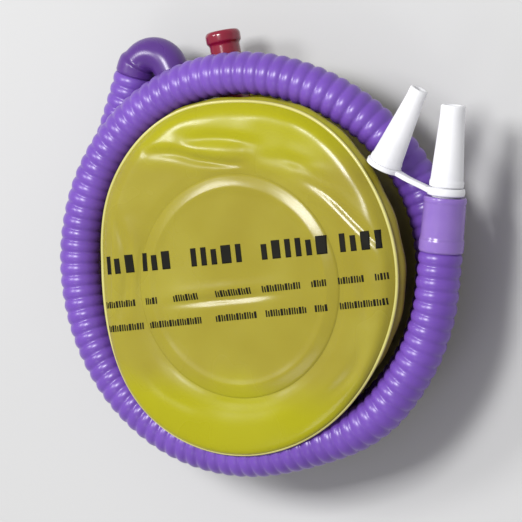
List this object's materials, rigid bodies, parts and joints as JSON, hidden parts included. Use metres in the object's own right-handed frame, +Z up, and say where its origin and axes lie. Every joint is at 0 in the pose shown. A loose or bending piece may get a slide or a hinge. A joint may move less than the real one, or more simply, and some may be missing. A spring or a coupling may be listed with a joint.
{
  "type": "foot pump",
  "caption": "Round bellows foot pump with a corrugated hose wound round its waist, a push-in tapered nozzle and a tethered adapter.",
  "frame": {"origin": "centre of the flat base, on the surface that the pump rests on", "axes": "+Z up out of the tread, +Y towards the side with the two air ports, +X towards the nozzle"},
  "size_m": [0.1302, 0.1278, 0.0398],
  "materials": {
    "yellow_vinyl": "glossy translucent vinyl film",
    "weld": "glossy welded vinyl",
    "inner_disc": "moulded plastic",
    "spring_steel": "drawn spring wire",
    "hose_purple": "soft corrugated plastic",
    "elbow_purple": "smooth moulded plastic",
    "cuff_purple": "smooth translucent plastic",
    "white_plastic": "satin moulded plastic",
    "red_plastic": "glossy moulded plastic",
    "valve_plastic": "moulded plastic",
    "valve_rubber": "soft rubber"
  },
  "bodies": {
    "base": {"base_cup": "yellow_vinyl", "base_plate": "inner_disc", "lower_weld_bead": "weld", "bellows_wall": "yellow_vinyl", "return_spring": "spring_steel", "outlet_spigot": "elbow_purple", "outlet_wall_ring": "elbow_purple", "outlet_valve_seat": "valve_plastic", "outlet_flap_stop": "valve_plastic", "inlet_port": "red_plastic", "inlet_wall_ring": "red_plastic", "inlet_valve_seat": "valve_plastic", "inlet_flap_stop": "valve_plastic", "outlet_elbow": "elbow_purple", "hose": "hose_purple", "hose_end_cuff": "cuff_purple"},
    "tread": {"tread_plate": "inner_disc", "tread_film": "yellow_vinyl", "tread_rim_bead": "weld"},
    "outlet_flap_disc": {"outlet_flap": "valve_rubber"},
    "inlet_flap_disc": {"inlet_flap": "valve_rubber"},
    "nozzle": {"nozzle": "white_plastic"},
    "tether": {"tether_strap": "white_plastic", "adapter_nozzle": "white_plastic"}
  },
  "joints": [
    {"name": "pump_stroke", "type": "slide", "parent": "base", "child": "tread", "axis": [0, 0, -1], "range_m": [0, 0.018], "stiffness_N_per_m": 1500, "springref_m": -0.004, "deforming": ["bellows_wall", "return_spring"]},
    {"name": "outlet_flap_lift", "type": "slide", "parent": "base", "child": "outlet_flap_disc", "axis": [-0.4848, 0.8746, 0], "range_m": [0, 0.001]},
    {"name": "inlet_flap_lift", "type": "slide", "parent": "base", "child": "inlet_flap_disc", "axis": [0.2079, -0.9781, 0], "range_m": [0, 0.001]},
    {"name": "nozzle_pull", "type": "slide", "parent": "base", "child": "nozzle", "axis": [0.0872, 0.9962, 0], "range_m": [0, 0.009]},
    {"name": "tether_swing", "type": "hinge", "parent": "nozzle", "child": "tether", "pos_m": [0.0614, 0.0072, 0.03], "axis": [0.0872, 0.9962, 0], "range_deg": [0, 150]}
  ]
}
